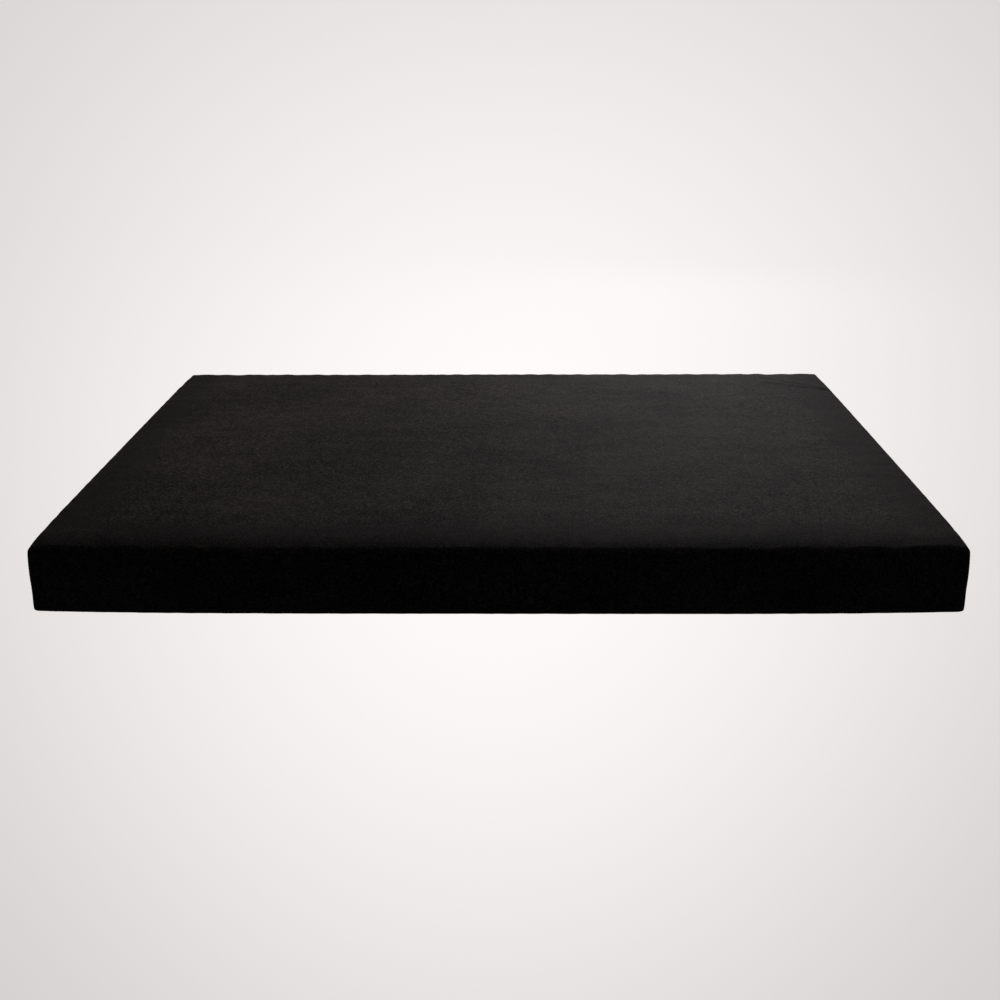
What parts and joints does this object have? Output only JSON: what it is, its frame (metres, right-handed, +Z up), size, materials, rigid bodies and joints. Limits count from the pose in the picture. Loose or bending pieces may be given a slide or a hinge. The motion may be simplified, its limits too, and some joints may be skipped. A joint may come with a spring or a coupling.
{
  "type": "futon mattress",
  "caption": "Black box-edged foam futon mattress in a zip-off micro-suede cover, folding in half along its length.",
  "frame": {"origin": "on the ground under the middle of the mattress, lying flat", "axes": "+X along the fold and the long sides, +Y from the seat half to the back half, +Z up out of the sleeping surface"},
  "size_m": [1.905, 1.3759, 0.146],
  "materials": {
    "black_micro_suede": "napped micro-suede, matte with a soft sheen",
    "label_satin": "smooth woven satin, blank",
    "zip_tape_weave": "herringbone woven tape",
    "zip_coil_nylon": "moulded nylon coil, semi-matte",
    "zip_metal": "die-cast, black enamel, semi-gloss",
    "barrier_knit": "soft rib-knit fire barrier",
    "batting_felt": "lofty needled fibre",
    "comfort_foam": "open-cell foam, cut skin",
    "core_foam": "dense open-cell foam, cut skin"
  },
  "bodies": {
    "seat": {"cover_top_seat": "black_micro_suede", "cover_bottom_seat": "black_micro_suede", "boxing_front": "black_micro_suede", "boxing_left_seat": "black_micro_suede", "boxing_right_seat": "black_micro_suede", "barrier_sleeve_seat": "barrier_knit", "batting_top_seat": "batting_felt", "batting_bottom_seat": "batting_felt", "comfort_foam_top_seat": "comfort_foam", "comfort_foam_bottom_seat": "comfort_foam", "core_foam_seat": "core_foam"},
    "back": {"cover_top_back": "black_micro_suede", "cover_bottom_back": "black_micro_suede", "boxing_left_back": "black_micro_suede", "boxing_right_back": "black_micro_suede", "boxing_back_upper": "black_micro_suede", "boxing_back_lower": "black_micro_suede", "care_label": "label_satin", "zip_tape_upper": "zip_tape_weave", "zip_tape_lower": "zip_tape_weave", "zip_coil_upper": "zip_coil_nylon", "zip_coil_lower": "zip_coil_nylon", "zip_stop_left": "zip_metal", "zip_stop_right": "zip_metal", "barrier_sleeve_back": "barrier_knit", "batting_top_back": "batting_felt", "batting_bottom_back": "batting_felt", "comfort_foam_top_back": "comfort_foam", "comfort_foam_bottom_back": "comfort_foam", "core_foam_back": "core_foam"},
    "zip_slider_body": {"zip_slider": "zip_metal"},
    "zip_pull_body": {"zip_pull": "zip_metal"}
  },
  "joints": [
    {"name": "fold", "type": "hinge", "parent": "seat", "child": "back", "pos_m": [0, 0, 0.1463], "axis": [1, 0, 0], "range_deg": [0, 175], "stiffness_Nm_per_rad": 4},
    {"name": "zip_slide", "type": "slide", "parent": "back", "child": "zip_slider_body", "axis": [-1, 0, 0], "range_m": [0, 1.746]},
    {"name": "pull_swing", "type": "hinge", "parent": "zip_slider_body", "child": "zip_pull_body", "pos_m": [0.8732, 0.6883, 0.073], "axis": [0, 0, -1], "range_deg": [0, 180]}
  ]
}
